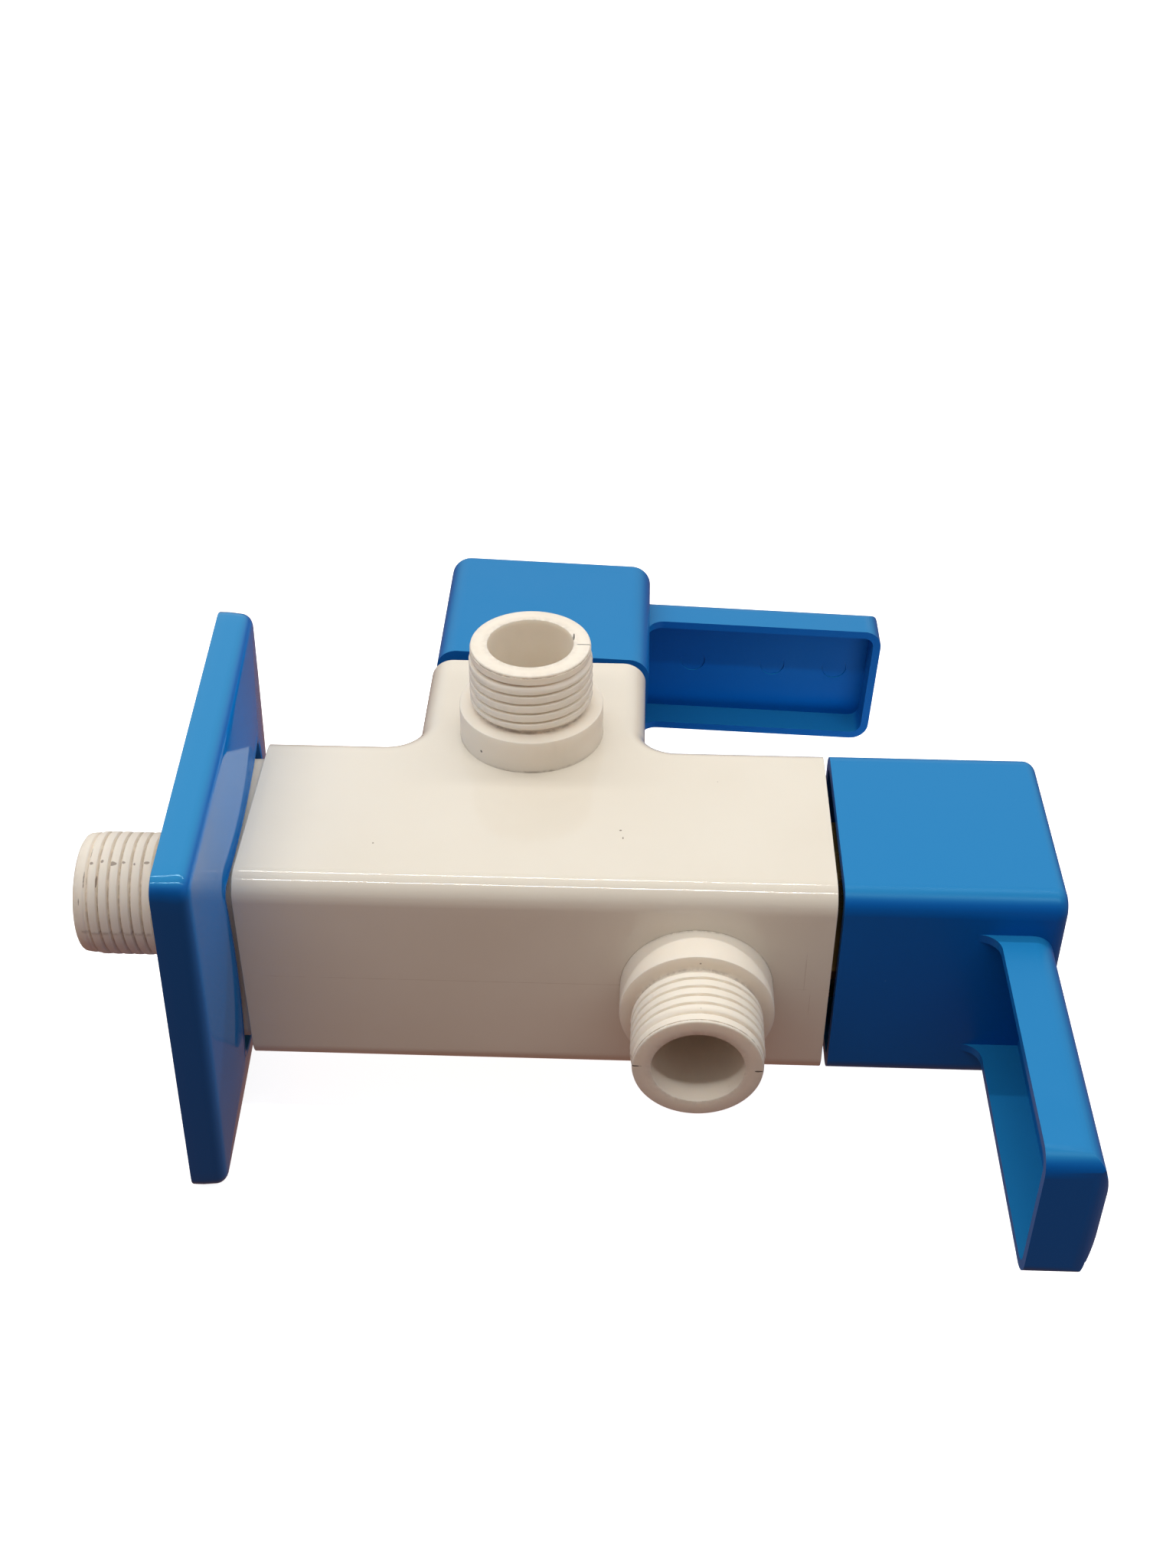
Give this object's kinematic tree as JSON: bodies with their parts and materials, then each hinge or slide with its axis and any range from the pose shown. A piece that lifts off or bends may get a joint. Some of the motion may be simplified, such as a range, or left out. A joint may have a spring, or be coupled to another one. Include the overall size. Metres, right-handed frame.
{
  "type": "two-way angle valve",
  "caption": "Square wall valve with a flanged threaded inlet, two threaded outlets at right angles and a quarter-turn lever cap for each outlet.",
  "frame": {"origin": "on the inlet axis in the wall plane, where the flange meets the wall", "axes": "+X out of the wall along the body, +Y towards the branch with the rear handle, +Z along the top outlet"},
  "size_m": [0.1607, 0.1468, 0.0746],
  "materials": {
    "core_matte": "matte",
    "jacket_gloss": "gloss",
    "flange_blue": "gloss",
    "handle_blue": "satin",
    "cover_blue": "satin",
    "brass": "machined",
    "seal_rubber": "matte",
    "ceramic": "polished ceramic",
    "washer_plastic": "matte",
    "spring_steel": "satin",
    "screw_steel": "satin"
  },
  "bodies": {
    "valve_body": {"valve_core": "core_matte", "body_jacket": "jacket_gloss", "end_bonnet": "brass", "end_bonnet_ring": "seal_rubber", "end_seat_seal": "seal_rubber", "end_fixed_disc": "ceramic", "rear_bonnet": "brass", "rear_bonnet_ring": "seal_rubber", "rear_seat_seal": "seal_rubber", "rear_fixed_disc": "ceramic"},
    "flange": {"wall_flange": "flange_blue"},
    "end_control": {"end_moving_disc": "ceramic", "end_spindle": "brass", "end_spindle_rings": "seal_rubber", "end_thrust_washer": "washer_plastic", "end_circlip": "spring_steel", "end_stop_ring": "spring_steel", "end_handle": "handle_blue", "end_handle_screw": "screw_steel", "end_index_cover": "cover_blue"},
    "rear_control": {"rear_moving_disc": "ceramic", "rear_spindle": "brass", "rear_spindle_rings": "seal_rubber", "rear_thrust_washer": "washer_plastic", "rear_circlip": "spring_steel", "rear_stop_ring": "spring_steel", "rear_handle": "handle_blue", "rear_handle_screw": "screw_steel", "rear_index_cover": "cover_blue"}
  },
  "joints": [
    {"name": "end_lever_turn", "type": "hinge", "parent": "valve_body", "child": "end_control", "pos_m": [0.08325, 0, 0], "axis": [1, 0, 0], "range_deg": [0, 90]},
    {"name": "rear_lever_turn", "type": "hinge", "parent": "valve_body", "child": "rear_control", "pos_m": [0.0546, 0.02275, 0], "axis": [0, 1, 0], "range_deg": [-92.2, 0]},
    {"name": "flange_slide", "type": "slide", "parent": "valve_body", "child": "flange", "axis": [1, 0, 0], "range_m": [-0.006, 0]}
  ]
}
